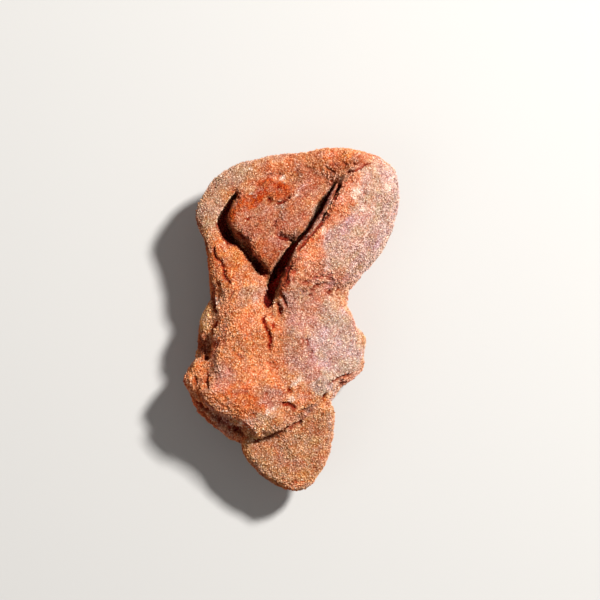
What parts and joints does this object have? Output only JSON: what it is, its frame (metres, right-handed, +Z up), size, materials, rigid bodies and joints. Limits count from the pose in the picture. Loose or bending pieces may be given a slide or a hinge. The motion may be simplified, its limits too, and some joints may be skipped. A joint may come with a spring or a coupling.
{
  "type": "barite rose",
  "caption": "Sandy cluster of rounded mineral blades grown through each other: a cupped rosette with a rolled petal, a lumpy trunk and a flat tongue.",
  "frame": {"origin": "on the surface that the cluster rests on, under the middle of its bounding box", "axes": "+Y along the length of the cluster, towards the cupped rosette; +Z up, out of the cup"},
  "size_m": [0.0436, 0.069, 0.0249],
  "materials": {
    "sandy_barite": "rough and sandy, orange-pink with paler and rust-red patches and fine sparkling grains"
  },
  "bodies": {
    "root": {"barite_rose": "sandy_barite"}
  },
  "joints": []
}
